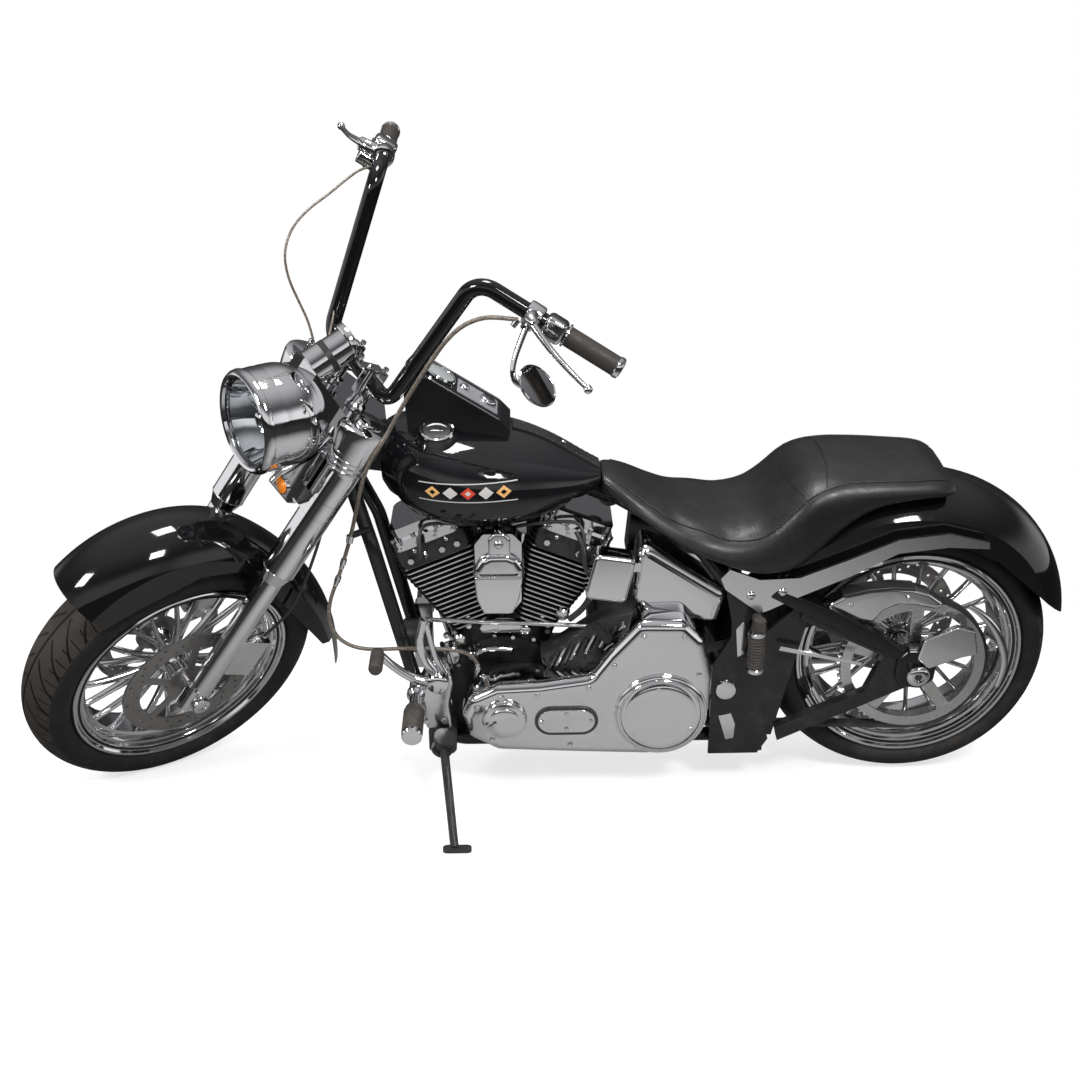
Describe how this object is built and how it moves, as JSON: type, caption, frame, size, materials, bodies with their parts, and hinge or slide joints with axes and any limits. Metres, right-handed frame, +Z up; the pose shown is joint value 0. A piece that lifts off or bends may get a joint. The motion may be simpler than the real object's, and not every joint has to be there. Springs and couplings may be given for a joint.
{
  "type": "chopper motorcycle",
  "caption": "Long low cruiser motorcycle with tall bars, V-twin engine, belt drive and two-up seat, leaning on its side stand, steering on its left stop.",
  "frame": {"origin": "on the ground under the middle of the whole parked bike's box", "axes": "+X towards the front wheel, +Y to the left, +Z up; the bike leans 12 degrees to +Y on its side stand"},
  "size_m": [2.2452, 0.8402, 1.4525],
  "materials": {
    "black_paint": "gloss black paint",
    "black_case": "satin black",
    "black_fins": "black with polished fin edges",
    "chrome": "polished",
    "steel": "machined",
    "belt_rubber": "matt",
    "black_plastic": "gloss black",
    "strap_leather": "studded black leather",
    "seat_leather": "stitched black leather",
    "peg_rubber": "ribbed",
    "cable": "braided",
    "alloy": "polished",
    "lamp_glass": "clear",
    "amber": "amber",
    "grip_rubber": "ribbed",
    "tyre": "road tread"
  },
  "bodies": {
    "chassis": {"frame": "black_paint", "swingarm": "black_paint", "engine_cases": "black_case", "cylinders": "black_fins", "rocker_boxes": "chrome", "cam_cover": "chrome", "air_cleaner": "chrome", "exhaust": "chrome", "engine_covers": "chrome", "primary_case": "chrome", "front_pulley": "steel", "drive_belt": "belt_rubber", "belt_guard": "chrome", "oil_tank": "chrome", "fuel_tank": "black_paint", "dash": "black_plastic", "dash_strap": "strap_leather", "seat": "seat_leather", "rear_fender": "black_paint", "strut_covers": "chrome", "rear_axle": "chrome", "rear_caliper": "chrome", "plate_bracket": "chrome", "left_control": "chrome", "right_control": "chrome", "pillion_pegs": "peg_rubber", "stand_bracket": "chrome", "chassis_cables": "cable"},
    "fork": {"yokes": "chrome", "fork_legs": "alloy", "fork_covers": "chrome", "nacelle": "chrome", "headlamp_shell": "chrome", "headlamp_lens": "lamp_glass", "turn_lights": "amber", "front_axle": "chrome", "front_calipers": "chrome", "front_fender": "black_paint", "handlebar": "black_paint", "risers": "chrome", "instrument": "chrome", "grips": "grip_rubber", "hand_controls": "chrome", "fork_cables": "cable"},
    "front_wheel_set": {"front_tyre": "tyre", "front_wheel": "chrome", "front_discs": "steel"},
    "rear_wheel_set": {"rear_tyre": "tyre", "rear_wheel": "chrome", "rear_pulley": "steel", "rear_disc": "steel"},
    "stand": {"side_stand": "black_paint"}
  },
  "joints": [
    {"name": "steering", "type": "hinge", "parent": "chassis", "child": "fork", "pos_m": [0.43055, 0.00727, 0.79456], "axis": [-0.5531, 0.1724, 0.8151], "range_deg": [-80, 0]},
    {"name": "front_wheel_spin", "type": "hinge", "parent": "fork", "child": "front_wheel_set", "pos_m": [0.83375, -0.04838, 0.29351], "axis": [-0.5367, 0.6746, -0.5068], "continuous": true},
    {"name": "rear_wheel_spin", "type": "hinge", "parent": "chassis", "child": "rear_wheel_set", "pos_m": [-0.78133, -0.09764, 0.31011], "axis": [-0.0016, 0.9781, -0.2079], "continuous": true},
    {"name": "side_stand_fold", "type": "hinge", "parent": "chassis", "child": "stand", "pos_m": [0.23629, 0.04415, 0.12303], "axis": [-0.1931, 0.4643, 0.8644], "range_deg": [0, 70]}
  ]
}
